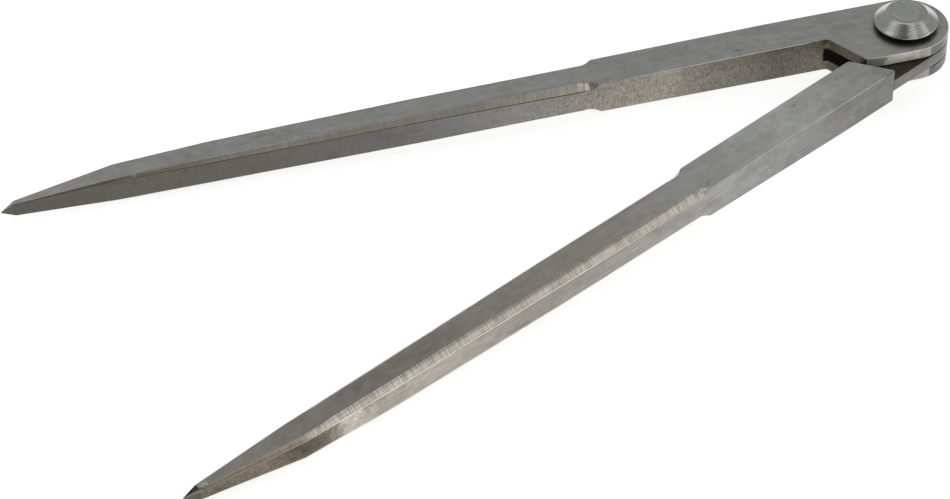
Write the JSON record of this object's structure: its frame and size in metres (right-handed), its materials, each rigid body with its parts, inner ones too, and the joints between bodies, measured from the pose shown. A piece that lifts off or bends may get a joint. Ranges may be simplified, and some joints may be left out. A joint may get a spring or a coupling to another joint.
{
  "type": "drawing compass",
  "caption": "Steel dividers: a slotted leg and a tongue leg with hard points, held at any angle by a riveted friction joint with conical washers.",
  "frame": {"origin": "on the pivot axis, at the flat underside of the lower conical washer", "axes": "+Z along the pivot axis, towards the upper washer; -X along the bisector of the legs, towards their points; +Y towards the fork leg"},
  "size_m": [0.2037, 0.0962, 0.0154],
  "materials": {
    "ground_steel": "ground along the legs, lightly tarnished",
    "turned_steel": "turned, with fine rings",
    "rivet_steel": "peened and faced flush",
    "spring_steel": "dark, oiled"
  },
  "bodies": {
    "fork_side": {"fork_leg": "ground_steel", "pivot_rivet": "rivet_steel", "upper_cone_washer": "turned_steel", "lower_cone_washer": "turned_steel", "upper_spring_washer": "spring_steel", "lower_spring_washer": "spring_steel"},
    "tongue_side": {"tongue_leg": "ground_steel"}
  },
  "joints": [
    {"name": "leg_hinge", "type": "hinge", "parent": "fork_side", "child": "tongue_side", "pos_m": [0, 0, 0.0077], "axis": [0, 0, 1], "range_deg": [-27.2, 152.8]}
  ]
}
